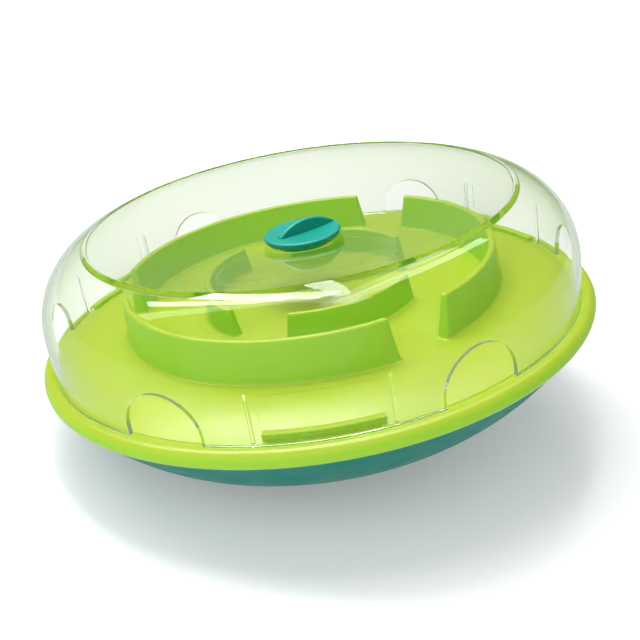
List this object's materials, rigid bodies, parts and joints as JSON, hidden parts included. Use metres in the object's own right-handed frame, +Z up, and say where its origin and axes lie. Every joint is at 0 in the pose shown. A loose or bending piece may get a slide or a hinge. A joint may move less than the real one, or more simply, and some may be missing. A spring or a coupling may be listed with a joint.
{
  "type": "wobble treat bowl",
  "caption": "Rocking slow feeder bowl: rounded base, maze tray, clear cover with arched doors and a funnel top with a pull-out filler plug.",
  "frame": {"origin": "centre of the small flat foot that the bowl stands on", "axes": "+Z up through the filler plug; +X through the middle of one of the six doors"},
  "size_m": [0.28, 0.28, 0.1128],
  "materials": {
    "teal_plastic": "moulded, fine satin",
    "lime_plastic": "moulded, semi gloss",
    "clear_plastic": "clear, polished",
    "plug_plastic": "moulded, satin",
    "screw_steel": "zinc plated"
  },
  "bodies": {
    "bowl": {"base_shell": "teal_plastic", "treat_tray": "lime_plastic", "base_screws": "screw_steel"},
    "cover": {"clear_cover": "clear_plastic"},
    "plug": {"filler_plug": "plug_plastic"}
  },
  "joints": [
    {"name": "cover_lift", "type": "slide", "parent": "bowl", "child": "cover", "axis": [0, 0, 1], "range_m": [0, 0.06]},
    {"name": "plug_pull", "type": "slide", "parent": "cover", "child": "plug", "axis": [0, 0, 1], "range_m": [0, 0.025]}
  ]
}
